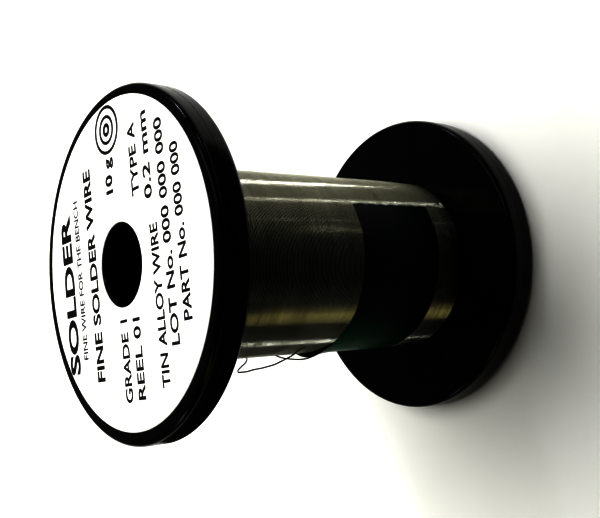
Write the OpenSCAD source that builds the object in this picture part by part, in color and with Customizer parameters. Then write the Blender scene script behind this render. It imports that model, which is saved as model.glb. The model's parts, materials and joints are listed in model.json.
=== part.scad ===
// Small bench spool of fine solder wire: two moulded flanges on a barrel, three layers of
// close-wound wire, a strip of adhesive tape over the last turns and a paper label on top.
// Millimetres. +Z runs up the spool's axis; the origin is the centre of the lower rest face.

/* [Flanges] */
// Outside diameter of both flanges
flange_d = 43.5; // [38:0.5:56]
// Thickness of each flange
flange_t = 4.0; // [2.4:0.1:6]
// Radius of the rounded edges round each rim
rim_r = 0.8; // [0.3:0.1:1.1]
// Diameter of the hole that a bench spindle goes through
bore_d = 9.8; // [6:0.1:12]
// Width of the chamfer at each mouth of the hole
bore_chamfer = 0.2; // [0.1:0.05:0.5]
// Wall of the sleeve round the hole
sleeve_wall = 1.2; // [0.8:0.1:2]
// Gap left between the ends of the two sleeves
sleeve_gap = 0.2; // [0.1:0.05:0.6]

/* [Barrel] */
// Outside diameter of the barrel that the wire is wound on
barrel_d = 23.6; // [20:0.2:30]
// Wall of the barrel
barrel_wall = 1.6; // [1:0.1:2.4]
// Clear width between the two flanges
winding_w = 42.8; // [36:0.2:60]
// Wall of the ring on each flange that goes inside the barrel
spigot_wall = 1.4; // [0.8:0.1:1.6]
// Length of that ring
spigot_l = 5; // [2:0.5:8]
// Lead-in chamfer on the end of that ring
spigot_lead = 0.4; // [0.2:0.1:0.7]
// Radial clearance between that ring and the barrel
spigot_gap = 0.05; // [0.02:0.01:0.15]

/* [Wire] */
// Diameter of the solder wire
wire_d = 0.2; // [0.15:0.05:0.5]

/* [Tape] */
// Width of the tape
tape_w = 13.6; // [8:0.1:18]
// Thickness of the tape
tape_t = 0.1; // [0.05:0.05:0.2]
// Height of the tape's lower edge above the lower flange
tape_lift = 5.4; // [1:0.1:12]
// Where the tape's visible end is, in degrees round from +X
tape_end = 311; // [270:1:350]
// How far round the winding the tape goes, in degrees
tape_wrap = 255; // [180:1:330]

/* [Label] */
// Width of the bare ring of flange outside the label
label_margin = 1.35; // [1:0.05:4]
// Thickness of the paper
label_t = 0.1; // [0.05:0.05:0.3]
// Gap between the label's hole and the chamfer of the flange's hole
label_gap = 0.05; // [0:0.05:1]

/* [Hidden] */

$fn = 96;
cut = 1;                                   // how far a cutter runs past what it cuts
total_h = 2 * flange_t + winding_w;        // without the label
flange_r = flange_d / 2;
bore_r = bore_d / 2;
barrel_r = barrel_d / 2;
barrel_bore_r = barrel_r - barrel_wall;
spigot_r = barrel_bore_r - spigot_gap;
sleeve_l = (total_h - sleeve_gap) / 2;
layer_rise = wire_d * sin(60);             // each turn lies in the groove between two turns below
winding_r = barrel_r + 2 * layer_rise + wire_d;
tape_bottom = flange_t + tape_lift;
tape_top = tape_bottom + tape_w;

// Route of the loose end. Each row is: degrees round from -Y towards -X, gap between the wire's
// underside and the winding, height above the tape's upper edge.
loose_route = [
    [60, 0.02, 0.2], [64, 0.15, 0.6], [68, 0.3, 0.9], [72, 0.45, 1.2], [77, 0.6, 1.5],
    [81, 0.65, 1.6], [85, 0.65, 1.9], [89, 0.6, 2.4], [92, 0.5, 3.1], [96, 0.4, 3.4],
    [101, 0.2, 3.8], [106, 0.06, 4.6], [110, 0.02, 5.6], [110, 0.06, 6.6], [107, 0.2, 7.4],
    [103, 0.35, 7.9], [99, 0.5, 8.3], [96, 0.55, 8.8], [93, 0.75, 9.5], [90, 1.0, 10.5],
    [86, 1.35, 11.7], [84, 1.55, 12.1], [82, 1.65, 12.3], [81, 1.65, 12.0], [80, 1.65, 11.4],
    [78, 1.5, 10.6], [76, 1.45, 9.7], [74, 1.35, 8.9], [71, 1.3, 8.4], [68, 1.15, 7.9],
    [65, 1.1, 7.6], [62, 0.9, 6.9], [58, 0.75, 6.5], [55, 0.5, 5.6]
];
loose_sides = 8;
loose_steps = 2;                           // rings between one route point and the next

// One flange moulding, with its outer face at z = 0 and its spigot pointing up.
module flange() {
    color([0.03, 0.03, 0.032])
    difference() {
        rotate_extrude() flange_outline();
        translate([0, 0, -cut])
            cylinder(h = 2 * cut, r1 = bore_r + bore_chamfer + cut, r2 = bore_r + bore_chamfer - cut);
    }
}

module flange_outline() {
    union() {
        // Disc, with round edges
        translate([bore_r, 0])
            square([flange_r - rim_r - bore_r, flange_t]);
        translate([bore_r, rim_r])
            square([flange_r - bore_r, flange_t - 2 * rim_r]);
        for (z = [rim_r, flange_t - rim_r])
            translate([flange_r - rim_r, z])
                circle(r = rim_r);
        // Sleeve round the spindle hole
        translate([bore_r, 0])
            square([sleeve_wall, sleeve_l]);
        // Spigot inside the barrel
        translate([spigot_r - spigot_wall, flange_t - rim_r])
            polygon([
                [0, 0],
                [spigot_wall, 0],
                [spigot_wall, rim_r + spigot_l - spigot_lead],
                [spigot_wall - spigot_lead, rim_r + spigot_l],
                [0, rim_r + spigot_l]
            ]);
    }
}

module lower_flange() {
    flange();
}

module upper_flange() {
    translate([0, 0, total_h])
        mirror([0, 0, 1])
            flange();
}

// A plain tube between the two flanges.
module sleeve_between_flanges(r_in, r_out) {
    translate([0, 0, flange_t])
        difference() {
            cylinder(h = winding_w, r = r_out);
            translate([0, 0, -cut])
                cylinder(h = winding_w + 2 * cut, r = r_in);
        }
}

module barrel() {
    color([0.05, 0.05, 0.052])
        sleeve_between_flanges(barrel_bore_r, barrel_r);
}

// The turns of one layer, close wound, as the sleeve that they fill.
module first_wire_layer() {
    color([0.5, 0.5, 0.44])
        sleeve_between_flanges(barrel_r, barrel_r + layer_rise);
}

module second_wire_layer() {
    color([0.53, 0.53, 0.47])
        sleeve_between_flanges(barrel_r + layer_rise, barrel_r + 2 * layer_rise);
}

module outer_wire_layer() {
    color([0.56, 0.55, 0.48])
        sleeve_between_flanges(barrel_r + 2 * layer_rise, winding_r);
}

module label() {
    color([0.95, 0.95, 0.94])
    translate([0, 0, total_h])
        difference() {
            cylinder(h = label_t, r = flange_r - label_margin);
            translate([0, 0, -cut])
                cylinder(h = label_t + 2 * cut, r = bore_r + bore_chamfer + label_gap);
        }
}

// A strip of film round the lower half of the winding, lying on the outer turns.
module tape() {
    color([0.02, 0.07, 0.045])
        translate([0, 0, tape_bottom])
            rotate([0, 0, tape_end - tape_wrap])
                rotate_extrude(angle = tape_wrap)
                    translate([winding_r, 0])
                        square([tape_t, tape_w]);
}

// A route row as a point in space.
function route_point(row) =
    let (r = winding_r + wire_d / 2 + row[1], a = 270 - row[0])
    [r * cos(a), r * sin(a), tape_top + row[2]];

// The point at t, from 0 to 1, along a smooth curve between b and c.
function blend_point(a, b, c, d, t) =
    0.5 * (2 * b + (c - a) * t + (2 * a - 5 * b + 4 * c - d) * t * t
        + (3 * b - a - 3 * c + d) * t * t * t);

function smooth_route(points, steps) =
    let (last = len(points) - 1)
    [
        for (i = [0 : last - 1], s = [0 : steps - 1])
            blend_point(
                points[max(i - 1, 0)], points[i], points[i + 1], points[min(i + 2, last)], s / steps
            ),
        points[last]
    ];

function unit(v) = v / norm(v);

// The corners of the ring at point i, square to the route.
function ring(path, i, r, sides) =
    let (
        last = len(path) - 1,
        along = unit(path[min(i + 1, last)] - path[max(i - 1, 0)]),
        outward = unit([path[i][0], path[i][1], 0]),
        up = unit(outward - (outward * along) * along),
        side = cross(along, up)
    )
    [for (k = [0 : sides - 1]) path[i] + r * (cos(360 * k / sides) * up + sin(360 * k / sides) * side)];

module swept_wire(path, r, sides) {
    rings = len(path);
    corners = [for (i = [0 : rings - 1]) each ring(path, i, r, sides)];
    walls = [
        for (i = [0 : rings - 2], k = [0 : sides - 1])
            let (next = (k + 1) % sides)
            each [
                [i * sides + k, (i + 1) * sides + k, i * sides + next],
                [i * sides + next, (i + 1) * sides + k, (i + 1) * sides + next]
            ]
    ];
    first_end = [for (k = [0 : sides - 1]) k];
    last_end = [for (k = [sides - 1 : -1 : 0]) (rings - 1) * sides + k];
    polyhedron(points = corners, faces = concat([first_end, last_end], walls), convexity = 6);
}

module loose_wire_end() {
    route = smooth_route([for (row = loose_route) route_point(row)], loose_steps);
    color([0.62, 0.6, 0.5])
        swept_wire(route, wire_d / 2, loose_sides);
}

lower_flange();
upper_flange();
barrel();
label();
first_wire_layer();
second_wire_layer();
outer_wire_layer();
tape();
loose_wire_end();
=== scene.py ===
import json
import math

import bpy
from mathutils import Matrix, Vector, noise


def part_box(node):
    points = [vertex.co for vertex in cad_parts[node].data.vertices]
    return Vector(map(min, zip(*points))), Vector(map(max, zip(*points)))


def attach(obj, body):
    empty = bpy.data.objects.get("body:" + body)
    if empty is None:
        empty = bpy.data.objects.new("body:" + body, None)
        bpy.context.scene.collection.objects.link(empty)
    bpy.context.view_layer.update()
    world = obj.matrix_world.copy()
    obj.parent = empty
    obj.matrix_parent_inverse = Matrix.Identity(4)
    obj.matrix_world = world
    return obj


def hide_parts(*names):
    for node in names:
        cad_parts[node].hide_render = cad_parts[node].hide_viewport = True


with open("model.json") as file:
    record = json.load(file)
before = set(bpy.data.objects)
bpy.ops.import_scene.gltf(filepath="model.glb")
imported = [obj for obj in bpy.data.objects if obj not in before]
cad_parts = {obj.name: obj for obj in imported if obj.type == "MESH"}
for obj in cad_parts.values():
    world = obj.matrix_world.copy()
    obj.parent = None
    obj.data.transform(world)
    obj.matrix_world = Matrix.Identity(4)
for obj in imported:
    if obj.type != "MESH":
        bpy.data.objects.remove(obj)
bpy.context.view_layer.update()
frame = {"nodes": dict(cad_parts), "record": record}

mm = 0.001

# Sizes that every piece shares, read from the frame
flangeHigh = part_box("lower_flange")[1]
windingLow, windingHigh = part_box("outer_wire_layer")
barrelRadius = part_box("barrel")[1].x
labelLow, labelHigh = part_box("label")
tapeLow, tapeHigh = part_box("tape")
boreRadius = frame["record"]["mounts"][0]["dims"]["r_mm"] * mm
flangeRadius = flangeHigh.x
flangeThickness = windingLow.z
spoolHeight = labelLow.z
windingRadius = windingHigh.x
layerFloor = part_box("second_wire_layer")[1].x
tapeRadius = -tapeLow.x
print("spool", round(spoolHeight / mm, 1), "mm high,", round(2 * flangeRadius / mm, 1), "mm across")


# ---------- small mesh helpers

def pieceFrom(name, points, faces, material, sharpAngle=40):
    mesh = bpy.data.meshes.new(name)
    mesh.from_pydata(points, [], faces)
    mesh.validate()
    mesh.polygons.foreach_set("use_smooth", [True] * len(mesh.polygons))
    mesh.set_sharp_from_angle(angle=math.radians(sharpAngle))
    mesh.materials.append(material)
    piece = bpy.data.objects.new(name, mesh)
    bpy.context.collection.objects.link(piece)
    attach(piece, "root")
    return piece


def turnedRing(profile, segments):    # a closed outline of (radius, height) turned once round the axis
    points = []
    for i in range(segments):
        angle = math.tau * i / segments
        points += [(r * math.cos(angle), r * math.sin(angle), z) for r, z in profile]
    count = len(profile)
    faces = []
    for i in range(segments):
        here = i * count
        there = (i + 1) % segments * count
        for k in range(count):
            after = (k + 1) % count
            faces.append((here + k, there + k, there + after, here + after))
    return points, faces


def joinTo(points, faces, morePoints, moreFaces):    # adds one mesh to the lists of another
    faces += [tuple(k + len(points) for k in face) for face in moreFaces]
    points += morePoints


def roundCorner(centre, radius, start, end, steps=8):    # degrees in the (radius, height) plane
    turn = [math.radians(start + (end - start) * i / steps) for i in range(steps + 1)]
    return [(centre[0] + radius * math.cos(a), centre[1] + radius * math.sin(a)) for a in turn]


def sweptTube(path, radii, sides=12):
    points = []
    for i, here in enumerate(path):
        along = (path[min(i + 1, len(path) - 1)] - path[max(i - 1, 0)]).normalized()
        outward = Vector((here.x, here.y, 0)).normalized()
        up = (outward - outward.dot(along) * along).normalized()
        side = along.cross(up)
        for k in range(sides):
            a = math.tau * k / sides
            points.append(here + radii[i] * (math.cos(a) * up + math.sin(a) * side))
    faces = []
    for i in range(len(path) - 1):
        for k in range(sides):
            after = (k + 1) % sides
            faces.append((i * sides + k, i * sides + after, (i + 1) * sides + after, (i + 1) * sides + k))
    faces.append(tuple(range(sides - 1, -1, -1)))
    faces.append(tuple((len(path) - 1) * sides + k for k in range(sides)))
    return points, faces


def smoothPath(rows, steps):    # a curve through every row
    path = []
    for i in range(len(rows) - 1):
        a, b, c, d = rows[max(i - 1, 0)], rows[i], rows[i + 1], rows[min(i + 2, len(rows) - 1)]
        for s in range(steps):
            t = s / steps
            path.append(0.5 * (2 * b + (c - a) * t + (2 * a - 5 * b + 4 * c - d) * t * t
                               + (3 * b - a - 3 * c + d) * t ** 3))
    return path + [rows[-1]]


def onWinding(degrees, radius, height):    # degrees round from the front (-Y) towards -X
    a = math.radians(270 - degrees)
    return Vector((radius * math.cos(a), radius * math.sin(a), height))


# ---------- shader helpers

class Signal:
    def __init__(self, board, socket):
        self.board = board
        self.socket = socket

    def maths(self, operation, first, second):
        return self.board.node("ShaderNodeMath", {"operation": operation}, {0: first, 1: second})

    def __add__(self, other):
        return self.maths("ADD", self, other)

    def __radd__(self, other):
        return self.maths("ADD", other, self)

    def __mul__(self, other):
        return self.maths("MULTIPLY", self, other)

    def __rmul__(self, other):
        return self.maths("MULTIPLY", other, self)


class Finish:    # one material and the ways to fill its node tree
    def __init__(self, name, **fixed):
        self.material = bpy.data.materials.new(name)
        self.material.use_nodes = True
        self.tree = self.material.node_tree
        self.tree.nodes.clear()
        self.shader = self.node("ShaderNodeBsdfPrincipled", {}, fixed).socket.node
        out = self.tree.nodes.new("ShaderNodeOutputMaterial")
        self.tree.links.new(self.shader.outputs[0], out.inputs["Surface"])
        place = self.node("ShaderNodeTexCoord", {}, {}, "Object")
        self.place = self.stretch(place, (1 / mm, 1 / mm, 1 / mm))    # millimetres from here on

    def node(self, kind, settings, sockets, out=0):
        made = self.tree.nodes.new(kind)
        for key, value in settings.items():
            if key == "stops":
                ramp = made.color_ramp
                while len(ramp.elements) < len(value):
                    ramp.elements.new(0.5)
                for element, (position, shade) in zip(ramp.elements, value):
                    element.position = position
                    element.color = (shade, shade, shade, 1)
            else:
                setattr(made, key, value)
        for key, value in sockets.items():
            if isinstance(value, Signal):
                self.tree.links.new(value.socket, made.inputs[key])
            else:
                made.inputs[key].default_value = value
        return Signal(self, made.outputs[out])

    def stretch(self, vector, factors):
        return self.node("ShaderNodeVectorMath", {"operation": "MULTIPLY"}, {0: vector, 1: factors})

    def grain(self, scale, detail=3.0, vector=None, roughness=0.5):
        sockets = {"Vector": vector or self.place, "Scale": scale, "Detail": detail, "Roughness": roughness}
        return self.node("ShaderNodeTexNoise", {}, sockets)

    def ramp(self, value, *stops):
        return self.node("ShaderNodeValToRGB", {"stops": stops}, {"Fac": value})

    def mixed(self, mask, colourA, colourB):
        return self.node("ShaderNodeMix", {"data_type": "RGBA"}, {0: mask, 6: colourA, 7: colourB}, 2)

    def bump(self, height, strength, distance):
        sockets = {"Height": height, "Strength": strength, "Distance": distance}
        return self.node("ShaderNodeBump", {}, sockets)

    def feed(self, **signals):
        for name, signal in signals.items():
            self.tree.links.new(signal.socket, self.shader.inputs[name.replace("_", " ")])
        return self.material


def shade(red, green, blue):
    return (red, green, blue, 1)


# ---------- finishes

def blackMoulding():
    made = Finish("blackMoulding", **{"IOR": 1.5, "Specular IOR Level": 0.28})
    mottle = made.ramp(made.grain(0.25, 4), (0.35, 0), (0.7, 1))
    haze = made.ramp(made.grain(1.1, 5), (0.4, 0), (0.75, 1))
    strokes = made.stretch(made.place, (0.15, 2.5, 0.6))
    scratch = made.ramp(made.grain(3.0, 2, strokes), (0.66, 0), (0.72, 1))
    dust = made.ramp(made.grain(5.5, 1), (0.74, 0), (0.78, 1))
    colour = made.mixed(mottle, shade(0.0035, 0.0035, 0.0036), shade(0.006, 0.006, 0.0062))
    colour = made.mixed(dust * 0.35, colour, shade(0.09, 0.088, 0.082))
    rough = 0.16 + 0.1 * haze + 0.16 * scratch + 0.3 * dust
    flow = made.grain(0.16, 3)
    relief = made.bump(flow + 0.05 * scratch + 0.03 * made.grain(9.0, 2), 0.12, 0.08 * mm)
    return made.feed(Base_Color=colour, Roughness=rough, Normal=relief)


def solderFinish(name, warm, level=1.0):
    made = Finish(name, **{"Metallic": 1.0})
    lay = made.stretch(made.place, (0.01, 0.01, 5.0))    # long round the spool, short along it
    strand = made.grain(1.0, 3, lay)
    tone = made.ramp(strand, (0.3, 0), (0.72, 1))
    patches = made.stretch(made.place, (0.04, 0.04, 0.5))
    tarnish = made.ramp(made.grain(1.0, 4, patches), (0.4, 0), (0.72, 1))
    bright = shade(level * (0.52 + 0.06 * warm), level * (0.52 + 0.02 * warm), level * (0.42 - 0.08 * warm))
    dull = shade(level * (0.30 + 0.04 * warm), level * (0.30 + 0.01 * warm), level * (0.22 - 0.04 * warm))
    colour = made.mixed(tone, dull, bright)
    colour = made.mixed(tarnish * 0.4, colour, shade(level * 0.20, level * 0.19, level * 0.12))
    rough = 0.06 + 0.08 * made.ramp(made.grain(2.2, 2, lay), (0.3, 0), (0.75, 1)) + 0.05 * tarnish
    relief = made.bump(made.grain(14.0, 2), 0.05, 0.01 * mm)
    return made.feed(Base_Color=colour, Roughness=rough, Normal=relief)


def paperFinish():
    made = Finish("labelPaper", **{"IOR": 1.45, "Specular IOR Level": 0.35})
    fibre = made.grain(7.0, 6, made.stretch(made.place, (1, 1.7, 1)), 0.65)
    cloud = made.ramp(made.grain(0.35, 3), (0.35, 0), (0.7, 1))
    colour = made.mixed(cloud, shade(0.88, 0.88, 0.87), shade(0.92, 0.92, 0.915))
    colour = made.mixed(made.ramp(fibre, (0.55, 0), (0.8, 0.25)), colour, shade(0.80, 0.80, 0.79))
    rough = 0.46 + 0.12 * fibre
    relief = made.bump(fibre, 0.25, 0.02 * mm)
    return made.feed(Base_Color=colour, Roughness=rough, Normal=relief)


def inkFinish():
    made = Finish("printedInk", **{"IOR": 1.45})
    wear = made.ramp(made.grain(4.0, 5), (0.5, 0), (0.8, 1))
    colour = made.mixed(wear, shade(0.012, 0.012, 0.013), shade(0.05, 0.05, 0.05))
    return made.feed(Base_Color=colour, Roughness=0.42 + 0.15 * wear)


def filmFinish():
    made = Finish("greenFilm", **{"IOR": 1.5, "Specular IOR Level": 0.12})
    cloud = made.ramp(made.grain(0.5, 4), (0.35, 0), (0.7, 1))
    lay = made.ramp(made.grain(1.0, 3, made.stretch(made.place, (0.2, 0.2, 4.0))), (0.35, 0), (0.7, 1))
    side = made.node("ShaderNodeSeparateXYZ", {}, {"Vector": made.place}, "X")
    rise = made.node("ShaderNodeSeparateXYZ", {}, {"Vector": made.place}, "Z")
    paintedLightSlope = side * -0.05 + rise * 0.012 + 0.02 * cloud
    paintedLitGreen = made.ramp(paintedLightSlope, (0.58, 0), (0.98, 1))    # painted light: brighter green towards -X and up, where the film shows lit
    colour = made.mixed(cloud, shade(0.0005, 0.008, 0.004), shade(0.0007, 0.011, 0.0055))
    # painted light: the lit green is mixed into the film's own dark green
    colour = made.mixed(paintedLitGreen, colour, shade(0.003, 0.17, 0.055))
    rough = 0.3 + 0.12 * cloud + 0.08 * lay
    relief = made.bump(made.grain(1.2, 3) + 0.5 * lay, 0.3, 0.03 * mm)
    return made.feed(Base_Color=colour, Roughness=rough, Normal=relief)


def tableFinish():
    made = Finish("paleTable", **{"Specular IOR Level": 0.15})
    cloud = made.ramp(made.grain(0.03, 3), (0.35, 0), (0.7, 1))
    speck = made.ramp(made.grain(0.9, 4), (0.4, 0), (0.8, 1))
    colour = made.mixed(cloud, shade(0.84, 0.84, 0.82), shade(0.88, 0.88, 0.87))
    relief = made.bump(speck, 0.1, 0.05 * mm)
    return made.feed(Base_Color=colour, Roughness=0.6 + 0.1 * speck, Normal=relief)


moulding = blackMoulding()
solder = solderFinish("drawnSolder", 0.0)
innerSolder = solderFinish("innerSolder", 0.6)
# painted shade: the loose end uses the same solder colours, darkened to 0.22
looseSolder = solderFinish("looseSolder", 0.0, 0.22)
paper = paperFinish()
ink = inkFinish()
film = filmFinish()
print("finishes made")


# ---------- camera

cameraLook = {
    "place": (0, -102.9 * mm, 103.8 * mm),
    "tiltDown": 40.63,
    "turn": -0.17,
    "roll": -90.04,
    "lens": 56.3,
    "shift": (-0.075, 0.005),
}


def makeCamera():
    data = bpy.data.cameras.new("benchCamera")
    data.lens = cameraLook["lens"]
    data.shift_x, data.shift_y = cameraLook["shift"]
    data.clip_start = 1 * mm
    data.clip_end = 10
    camera = bpy.data.objects.new("benchCamera", data)
    turn = Matrix.Rotation(math.radians(cameraLook["turn"]), 4, "Z")
    tilt = Matrix.Rotation(math.radians(90 - cameraLook["tiltDown"]), 4, "X")
    roll = Matrix.Rotation(math.radians(cameraLook["roll"]), 4, "Z")
    camera.matrix_world = Matrix.Translation(cameraLook["place"]) @ turn @ tilt @ roll
    bpy.context.collection.objects.link(camera)
    bpy.context.scene.camera = camera


makeCamera()


# ---------- flanges

flangeShape = {
    "rimRound": 0.8 * mm,
    "mouthChamfer": 0.2 * mm,
    "sleeveWall": 1.2 * mm,
    "spigotWall": 1.4 * mm,
    "spigotGap": 0.05 * mm,
    "spigotLength": 5 * mm,
    "spigotLead": 0.4 * mm,
    "barrelWall": 1.6 * mm,
    "seamDepth": 0.02 * mm,    # depth of the mould seam round the rim, then half its widths
    "seamInside": 0.03 * mm,
    "seamOutside": 0.06 * mm,
    "faceRings": 6,
    "segments": 256,
}


def flangeProfile():    # outer face at height 0, spigot pointing up
    s = flangeShape
    rim = s["rimRound"]
    thick = flangeThickness
    bevel = s["mouthChamfer"]
    sleeveTop = flangeHigh.z
    sleeveRadius = boreRadius + s["sleeveWall"]
    spigotRadius = barrelRadius - s["barrelWall"] - s["spigotGap"]
    spigotTop = thick + s["spigotLength"]
    middle = thick / 2
    seam = flangeRadius - s["seamDepth"]
    faceIn = boreRadius + bevel
    faceWidth = flangeRadius - rim - faceIn
    profile = [(boreRadius, bevel)]
    profile += [(faceIn + faceWidth * i / s["faceRings"], 0) for i in range(s["faceRings"])]
    profile += roundCorner((flangeRadius - rim, rim), rim, -90, 0)
    profile += [
        (flangeRadius, middle - s["seamOutside"]),
        (seam, middle - s["seamInside"]),
        (seam, middle + s["seamInside"]),
        (flangeRadius, middle + s["seamOutside"]),
    ]
    profile += roundCorner((flangeRadius - rim, thick - rim), rim, 0, 90)
    profile += [
        (windingRadius, thick),
        (spigotRadius, thick),
        (spigotRadius, spigotTop - s["spigotLead"]),
        (spigotRadius - s["spigotLead"], spigotTop),
        (spigotRadius - s["spigotWall"], spigotTop),
        (spigotRadius - s["spigotWall"], thick),
        (sleeveRadius, thick),
        (sleeveRadius, sleeveTop),
        (boreRadius, sleeveTop),
    ]
    return profile


def makeFlanges():
    profile = flangeProfile()
    points, faces = turnedRing(profile, flangeShape["segments"])
    lower = pieceFrom("lowerFlange", points, [f[::-1] for f in faces], moulding, 30)
    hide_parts("lower_flange")
    turned = [(x, y, spoolHeight - z) for x, y, z in points]
    upper = pieceFrom("upperFlange", turned, faces, moulding, 30)
    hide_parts("upper_flange")


makeFlanges()
print("flanges made")


# ---------- winding

windingLook = {
    "pitch": 0.209 * mm,
    "stepsPerTurn": 100,
    "pointsPerTurn": 5,
    "unevenTurn": 0.004 * mm,
    "unevenLay": 0.004 * mm,
    "endGap": 0.02 * mm,
    "flattened": 0.98,    # how far out a turn reaches, as a share of its radius
}


def makeWinding():
    w = windingLook
    steps, lobes = w["stepsPerTurn"], w["pointsPerTurn"]
    low, high = windingLow.z + w["endGap"], windingHigh.z - w["endGap"]
    turns = int((high - low) / w["pitch"]) - 1
    pitch = (high - low) / (turns + 1)
    wire = pitch / 2
    middle = windingRadius - wire
    rows = lobes * turns + 1

    def corner(row, step):
        turn, lobe = divmod(row, lobes)
        bend = math.radians(-90 + 180 * lobe / lobes)
        lap = turn + step / steps
        angle = math.tau * step / steps
        sway = noise.noise(Vector((math.cos(angle), math.sin(angle), 0.13 * lap)) * 1.3)
        jolt = noise.noise(Vector((2.1 * math.cos(angle), 2.1 * math.sin(angle), 3.7 * lap)))
        rise = w["unevenLay"] * (sway - 0.5) + w["unevenTurn"] * (jolt - 0.5)
        radius = middle + wire * math.cos(bend) * w["flattened"] + rise
        height = low + pitch * (lap + 0.5 + 0.5 * math.sin(bend))
        return (radius * math.cos(angle), radius * math.sin(angle), height)

    points = [corner(row, step) for row in range(rows) for step in range(steps)]

    def at(row, step):    # past the last step, the same wire goes on one turn higher
        return (row + lobes) * steps if step == steps else row * steps + step

    faces = []
    for row in range(rows - 1):
        for step in range(steps):
            if step == steps - 1 and row + 1 + lobes > rows - 1:
                continue
            faces.append((at(row, step), at(row, step + 1), at(row + 1, step + 1), at(row + 1, step)))
    innerLow = len(points)
    for height in (low, high):
        for step in range(steps):
            a = math.tau * step / steps
            points.append((layerFloor * math.cos(a), layerFloor * math.sin(a), height))
    innerHigh = innerLow + steps
    top = rows - 1
    for step in range(steps - 1):
        faces.append((innerLow + step, innerLow + step + 1, step + 1, step))
        faces.append((top * steps + step, top * steps + step + 1, innerHigh + step + 1, innerHigh + step))
        faces.append((innerLow + step + 1, innerLow + step, innerHigh + step, innerHigh + step + 1))
    last = steps - 1
    faces.append((innerLow, innerLow + last, innerHigh + last, innerHigh))
    firstEnd = [row * steps for row in range(lobes, -1, -1)]
    faces.append(tuple([innerLow + last, innerLow] + firstEnd[::-1] + [last]))
    lastEnd = [row * steps + last for row in range(top - lobes, top + 1)]
    faces.append(tuple([innerHigh, innerHigh + last] + lastEnd[::-1] + [top * steps]))
    piece = pieceFrom("woundWire", points, faces, solder, 180)
    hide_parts("outer_wire_layer")
    print("winding made,", turns, "turns")


makeWinding()


# ---------- turns that cross the others

crossings = [    # start and end in degrees from the front towards -X, start and end height, in mm
    (-88, -20, 40.6, 39.6),
    (-30, 58, 44.2, 43.2),
    (120, 215, 33.0, 31.2),
    (150, 262, 14.6, 12.0),
]
crossingLook = {
    "wire": 0.1 * mm,
    "sides": 8,
    "sunk": 0.11 * mm,    # how deep the middle of the wire lies at its ends, then how high between them
    "proud": -0.055 * mm,
    "degreesPerStep": 3,
    "wander": 0.12,
}


def makeCrossings():
    look = crossingLook
    points, faces = [], []
    for start, end, lowEnd, highEnd in crossings:
        count = int((end - start) / look["degreesPerStep"])
        path = []
        for i in range(count + 1):
            share = i / count
            lift = math.sin(math.pi * share) ** 0.35
            radius = windingRadius - look["sunk"] + (look["sunk"] + look["proud"]) * lift
            wander = look["wander"] * math.sin(7 * share + lowEnd)
            height = lowEnd + (highEnd - lowEnd) * share + wander * math.sin(math.pi * share)
            path.append(onWinding(start + (end - start) * share, radius, height * mm))
        joinTo(points, faces, *sweptTube(path, [look["wire"]] * len(path), look["sides"]))
    pieceFrom("crossingTurns", points, faces, solder, 60)


makeCrossings()


# ---------- loose end, on the frame's own route

looseEnd = {
    # degrees from the front towards -X, gap under the wire in mm, height above the tape in mm
    "route": [
        (60, 0.02, 0.2), (64, 0.15, 0.6), (68, 0.3, 0.9), (72, 0.45, 1.2), (77, 0.6, 1.5),
        (81, 0.65, 1.6), (85, 0.65, 1.9), (89, 0.6, 2.4), (92, 0.5, 3.1), (96, 0.4, 3.4),
        (101, 0.2, 3.8), (106, 0.06, 4.6), (110, 0.02, 5.6), (110, 0.06, 6.6), (107, 0.2, 7.4),
        (103, 0.35, 7.9), (99, 0.5, 8.3), (96, 0.55, 8.8), (93, 0.75, 9.5), (90, 1.0, 10.5),
        (86, 1.35, 11.7), (84, 1.55, 12.1), (82, 1.65, 12.3), (81, 1.65, 12.0), (80, 1.65, 11.4),
        (78, 1.5, 10.6), (76, 1.45, 9.7), (74, 1.35, 8.9), (71, 1.3, 8.4), (68, 1.15, 7.9),
        (65, 1.1, 7.6), (62, 0.9, 6.9), (58, 0.75, 6.5), (55, 0.5, 5.6),
    ],
    "wire": 0.1 * mm,
    "steps": 5,
    "nipLength": 5,    # rings over which the cut tip narrows
    "nipWidth": 0.25,
}


def makeLooseEnd():
    wire = looseEnd["wire"]
    floor = windingRadius + wire
    rows = [onWinding(a, floor + gap * mm, tapeHigh.z + up * mm) for a, gap, up in looseEnd["route"]]
    path = smoothPath(rows, looseEnd["steps"])
    nip = looseEnd["nipLength"]
    radii = []
    for i in range(len(path)):
        left = min(len(path) - 1 - i, nip) / nip
        radii.append(wire * (looseEnd["nipWidth"] + (1 - looseEnd["nipWidth"]) * math.sqrt(left)))
    points, faces = sweptTube(path, radii, 14)
    piece = pieceFrom("looseWireEnd", points, faces, looseSolder, 60)
    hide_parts("loose_wire_end")


makeLooseEnd()
print("wires made")


# ---------- tape

tapeLook = {
    "visibleEnd": -41.0,    # degrees from the front towards -X
    "wrap": 255.0,
    "thickness": 0.055 * mm,
    "gap": 0.02 * mm,
    "slant": 0.009 * mm,    # rise of the strip per degree
    "toothPitch": 1.9 * mm,
    "toothDepth": 0.32 * mm,
    "columns": 200,
    "rows": 84,
    "edgeWander": 0.12 * mm,
    "ripple": 0.012 * mm,
    "endLift": 0.05 * mm,
    "curlAt": 80.0,
    "curlSpread": 15.0,
    "curlOut": 0.5 * mm,
    "curlUp": 0.7 * mm,
    "curlFrom": 0.74,    # share of the width below which the film lies flat
}


def toothCut(height, seed):    # how far the dispenser's teeth bite in at this height
    t = tapeLook
    phase = height / t["toothPitch"]
    uneven = 0.25 * noise.noise(Vector((phase * 1.7, seed, 0.0)))
    share = abs((phase + uneven) % 1.0 - 0.5) * 2
    return t["toothDepth"] * (share ** 1.4 + 0.5 * noise.noise(Vector((phase * 5.0, seed, 2.0))))


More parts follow.
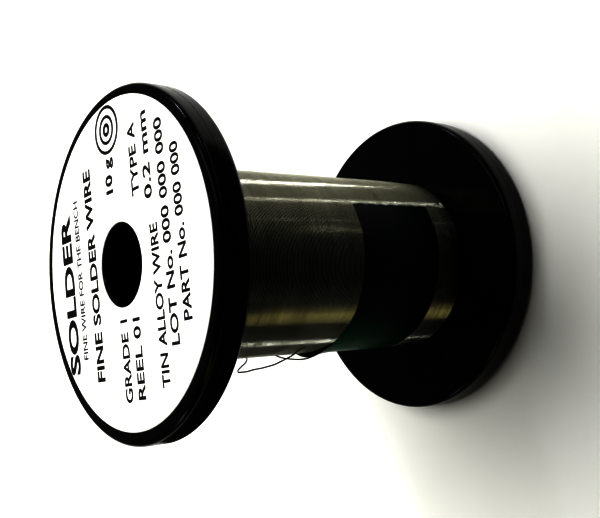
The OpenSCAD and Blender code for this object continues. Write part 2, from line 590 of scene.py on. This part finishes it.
def makeTape():
    t = tapeLook
    width = tapeHigh.z - tapeLow.z
    degreesPerMetre = 180 / (math.pi * tapeRadius)
    inner, outer = [], []
    for column in range(t["columns"] + 1):
        for row in range(t["rows"] + 1):
            across = row / t["rows"]
            start = t["visibleEnd"] + toothCut(across * width, 1.0) * degreesPerMetre
            end = t["visibleEnd"] + t["wrap"] - toothCut(across * width, 5.0) * degreesPerMetre
            share = column / t["columns"]
            angle = start + (end - start) * share
            along = angle - t["visibleEnd"]
            slant = t["slant"] * (along - 0.35 * t["wrap"])
            ripple = noise.noise(Vector((angle * 0.06, across * 2.0, 0.0)))
            seed = 8.0 if row * 2 > t["rows"] else 3.0    # the two long edges wander apart
            edge = t["edgeWander"] * noise.noise(Vector((angle * 0.05, seed, 1.0)))
            height = tapeLow.z + width * across + slant + edge * abs(2 * across - 1)
            lift = t["ripple"] * max(ripple, 0)
            nearEnd = math.exp(-along / 2.5)
            lift += t["endLift"] * nearEnd * max(noise.noise(Vector((across * 6.0, 4.0, 0.0))) + 0.2, 0)
            curl = math.exp(-((angle - t["curlAt"]) / t["curlSpread"]) ** 2)
            reach = max(across - t["curlFrom"], 0) / (1 - t["curlFrom"])
            lift += t["curlOut"] * curl * reach ** 2
            height += t["curlUp"] * curl * reach ** 1.5
            radius = windingRadius + t["gap"] + lift
            inner.append(onWinding(angle, radius, height))
            outer.append(onWinding(angle, radius + t["thickness"], height))
    points = inner + outer
    shift = len(inner)
    line = t["rows"] + 1
    faces = []
    for column in range(t["columns"]):
        for row in range(t["rows"]):
            a = column * line + row
            faces.append((a, a + line, a + line + 1, a + 1))
            faces.append((a + shift + 1, a + shift + line + 1, a + shift + line, a + shift))
        for a in (column * line, column * line + t["rows"]):
            quad = (a, a + shift, a + shift + line, a + line)
            faces.append(quad if a % line == 0 else quad[::-1])
    for column in (0, t["columns"]):
        for row in range(t["rows"]):
            a = column * line + row
            quad = (a, a + 1, a + shift + 1, a + shift)
            faces.append(quad if column == 0 else quad[::-1])
    piece = pieceFrom("tapeStrip", points, faces, film, 50)
    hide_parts("tape")


makeTape()
print("tape made")


# ---------- label

labelLook = {
    "paper": 0.085 * mm,
    "hubGap": 0.05 * mm,    # between its hole and the chamfer
    "inkTop": 0.098 * mm,
    "inkSunk": 0.01 * mm,
    "letterScale": 1.37,    # font size for capitals of height 1
    "edgeRound": 0.02 * mm,
    "segments": 256,
    "outside": 0.25 * mm,    # how much smaller than the frame's the paper was cut
    "setOff": (0.2 * mm, -0.25 * mm),    # how far off centre it was stuck on
    "turn": 9.5,    # degrees that the print is turned on the spool
}


def makeLabel():
    look = labelLook
    radius = labelHigh.x - look["outside"]
    hole = boreRadius + flangeShape["mouthChamfer"] + look["hubGap"]
    top = spoolHeight + look["paper"]
    soft = look["edgeRound"]
    profile = [(hole, spoolHeight), (hole, top - soft), (hole + soft, top)]
    profile += [(hole + (radius - hole) * i / 8, top) for i in range(1, 8)]
    profile += [(radius - soft, top), (radius, top - soft), (radius, spoolHeight)]
    points, faces = turnedRing(profile, look["segments"])
    placed = []
    for x, y, z in points:    # the hole stays round the spindle
        share = (math.hypot(x, y) - hole) / (radius - hole)
        placed.append((x + share * look["setOff"][0], y + share * look["setOff"][1], z))
    piece = pieceFrom("labelPaper", placed, faces, paper, 60)
    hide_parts("label")


printing = [    # words, start and end along the line in mm, height of the line, letter size, boldness
    ("SOLDER", -12.1, 8.9, 13.3, 2.8, 0.26),
    ("FINE WIRE FOR THE BENCH", -10.4, 10.2, 10.7, 1.25, 0.04),
    ("FINE SOLDER WIRE", -13.5, 13.4, 6.5, 2.0, 0.16),
    ("GRADE 1", -16.5, -6.6, -0.3, 1.75, 0.09),
    ("REEL 01", -16.3, -6.7, -3.4, 1.75, 0.09),
    ("10 g", 9.0, 13.4, 0.6, 1.75, 0.16),
    ("TYPE A", 7.4, 16.1, -5.8, 1.75, 0.09),
    ("0.2 mm", 6.4, 16.7, -8.7, 1.75, 0.09),
    ("TIN ALLOY WIRE", -15.3, 3.4, -9.2, 1.75, 0.09),
    ("LOT No. 000 000 000", -10.8, 15.0, -12.0, 1.75, 0.09),
    ("PART No. 000 000", -8.4, 11.4, -15.0, 1.75, 0.09),
]
printedRing = {"centre": (17.0, 1.1), "outer": 3.05, "line": 0.42, "hub": 0.85, "disc": 1.85,
               "eye": 0.35, "segments": 96}


def letterMesh(words, start, end, line, size, bold):
    curve = bpy.data.curves.new("letters", "FONT")
    curve.body = words
    curve.size = size * labelLook["letterScale"] * mm
    curve.offset = bold * 0.5 * mm
    curve.extrude = 0.5
    curve.resolution_u = 4
    holder = bpy.data.objects.new("letters", curve)
    bpy.context.collection.objects.link(holder)
    bpy.context.view_layer.update()
    solid = holder.evaluated_get(bpy.context.evaluated_depsgraph_get())
    mesh = bpy.data.meshes.new_from_object(solid)
    bpy.data.objects.remove(holder)
    low = min(v.co.x for v in mesh.vertices)
    high = max(v.co.x for v in mesh.vertices)
    stretch = (end - start) * mm / (high - low)
    left = start * mm
    points = [(left + (v.co.x - low) * stretch, line * mm + v.co.y, v.co.z > 0) for v in mesh.vertices]
    faces = [tuple(p.vertices) for p in mesh.polygons]
    return points, faces


def printedRingMesh():
    s = printedRing
    points, faces = [], []
    bands = ((s["outer"] - s["line"], s["outer"]), (s["disc"] - s["line"], s["disc"]), (s["eye"], s["hub"]))
    for inner, outer in bands:
        profile = [(inner, 0), (outer, 0), (outer, 1), (inner, 1)]
        ring, sides = turnedRing(profile, s["segments"])
        placed = [((s["centre"][0] + x) * mm, (s["centre"][1] + y) * mm, z > 0.5) for x, y, z in ring]
        joinTo(points, faces, placed, sides)
    return points, faces


def makePrint():
    points, faces = [], []
    for row in printing:
        joinTo(points, faces, *letterMesh(*row))
    joinTo(points, faces, *printedRingMesh())
    turn = math.radians(labelLook["turn"])
    bottom = spoolHeight + labelLook["paper"] - labelLook["inkSunk"]
    top = spoolHeight + labelLook["inkTop"]
    placed = []
    for x, y, raised in points:
        across = x * math.cos(turn) - y * math.sin(turn)
        up = x * math.sin(turn) + y * math.cos(turn)
        placed.append((across, up, top if raised else bottom))
    pieceFrom("labelPrint", placed, faces, ink, 40)


makeLabel()
makePrint()
print("label made")


# ---------- finishes on the frame's own hidden pieces

hiddenFinishes = {"barrel": moulding, "first_wire_layer": innerSolder, "second_wire_layer": innerSolder}
for nodeName, finish in hiddenFinishes.items():
    node = frame["nodes"][nodeName]
    node.data.materials.clear()
    node.data.materials.append(finish)


# ---------- table, lights and surroundings

tableHalfWidth = 1.5


def makeTable():
    mesh = bpy.data.meshes.new("table")
    half = tableHalfWidth
    corners = [(-half, -half, 0), (half, -half, 0), (half, half, 0), (-half, half, 0)]
    mesh.from_pydata(corners, [], [(0, 1, 2, 3)])
    mesh.materials.append(tableFinish())
    table = bpy.data.objects.new("table", mesh)
    bpy.context.collection.objects.link(table)


# bearing in degrees round from the front towards -X, height above the table in degrees, distance,
# size of the panel, power in watts, colour, and whether its own reflection shows
lights = {
    "backSky": (-160, 62, 0.60, (0.50, 0.50), 4.5, (1.0, 1.0, 0.97), False),
    "roomFill": (-125, 68, 0.75, (0.80, 0.80), 3.2, (1.0, 1.0, 0.97), False),
    "rightTubeA": (-110, 30, 0.50, (0.012, 0.10), 0.20, (0.98, 1.0, 1.15), True),
    "rightTubeB": (-80, 30, 0.50, (0.010, 0.08), 0.07, (0.98, 1.0, 1.15), True),
    "rightTubeC": (-52, 30, 0.50, (0.008, 0.08), 0.012, (0.98, 1.0, 1.15), True),
    "rimStrip": (-90, 62, 0.55, (0.50, 0.03), 0.25, (1.0, 1.0, 0.96), True),
    "leftWarm": (64, 30, 0.50, (0.12, 0.35), 0.16, (1.0, 0.90, 0.50), True),
    "leftTube": (106, 30, 0.50, (0.012, 0.10), 0.10, (0.98, 1.0, 1.15), True),
}


def makeLights():
    aim = Vector((0, 0, spoolHeight / 2))
    for name, (bearing, height, distance, size, power, colour, shows) in lights.items():
        data = bpy.data.lights.new(name, "AREA")
        data.shape = "RECTANGLE"
        data.size, data.size_y = size
        data.energy = power
        data.color = colour
        lamp = bpy.data.objects.new(name, data)
        place = onWinding(bearing, distance * math.cos(math.radians(height)), 0)
        place.z = distance * math.sin(math.radians(height))
        lamp.location = place
        lamp.rotation_mode = "QUATERNION"
        lamp.rotation_quaternion = (aim - place).to_track_quat("-Z", "Y")    # first size lies level
        lamp.visible_glossy = shows
        bpy.context.collection.objects.link(lamp)


# painted shade: a dark sheet, seen only in reflections, for the viewer's own dark side and the unlit side,
# which the wire and the gloss reflect but which shade nothing
frontCard = {
    "near": -30 * mm,
    "far": -400 * mm,
    "halfWidth": 120 * mm,
    "side": -27 * mm,
    "back": 70 * mm,
    "height": 2 * mm,
}


def makeFrontCard():
    c = frontCard
    front = [(x, y, c["height"]) for y in (c["far"], c["near"]) for x in (c["side"], c["halfWidth"])]
    side = [(x, y, c["height"]) for y in (c["far"], c["back"]) for x in (-c["halfWidth"], c["side"])]
    mesh = bpy.data.meshes.new("frontCard")
    mesh.from_pydata(front + side, [], [(0, 1, 3, 2), (4, 5, 7, 6)])
    dark = Finish("darkCard", **{"Roughness": 0.9, "Specular IOR Level": 0.0})
    # painted shade: the card's dark tone, mottled, shows only in reflections
    paintedShadeMottle = dark.ramp(dark.grain(0.2), (0.3, 0.01), (0.7, 0.02))
    mesh.materials.append(dark.feed(Base_Color=paintedShadeMottle))
    card = bpy.data.objects.new("frontCard", mesh)
    bpy.context.collection.objects.link(card)
    card.visible_camera = False
    card.visible_diffuse = False
    card.visible_shadow = False


def makeSurroundings():    # a dim room, a little brighter behind the spool
    world = bpy.data.worlds.new("room")
    world.use_nodes = True
    nodes, links = world.node_tree.nodes, world.node_tree.links
    nodes.clear()
    way = nodes.new("ShaderNodeTexCoord")
    split = nodes.new("ShaderNodeSeparateXYZ")
    ramp = nodes.new("ShaderNodeValToRGB")
    ramp.color_ramp.elements[0].position = 0.35
    ramp.color_ramp.elements[0].color = (0.02, 0.02, 0.02, 1)
    ramp.color_ramp.elements[1].position = 0.9
    ramp.color_ramp.elements[1].color = (0.14, 0.14, 0.13, 1)
    half = nodes.new("ShaderNodeMath")
    half.operation = "MULTIPLY_ADD"
    half.inputs[1].default_value = 0.5
    half.inputs[2].default_value = 0.5
    sky = nodes.new("ShaderNodeBackground")
    out = nodes.new("ShaderNodeOutputWorld")
    links.new(way.outputs["Generated"], split.inputs[0])
    links.new(split.outputs["Y"], half.inputs[0])
    links.new(half.outputs[0], ramp.inputs[0])
    links.new(ramp.outputs[0], sky.inputs["Color"])
    links.new(sky.outputs[0], out.inputs["Surface"])
    bpy.context.scene.world = world


makeTable()
makeLights()
makeFrontCard()
makeSurroundings()
bpy.context.scene.view_settings.view_transform = "Standard"
bpy.context.scene.view_settings.exposure = 0.0
bpy.context.scene.view_settings.gamma = 0.5
print("table and lights made")
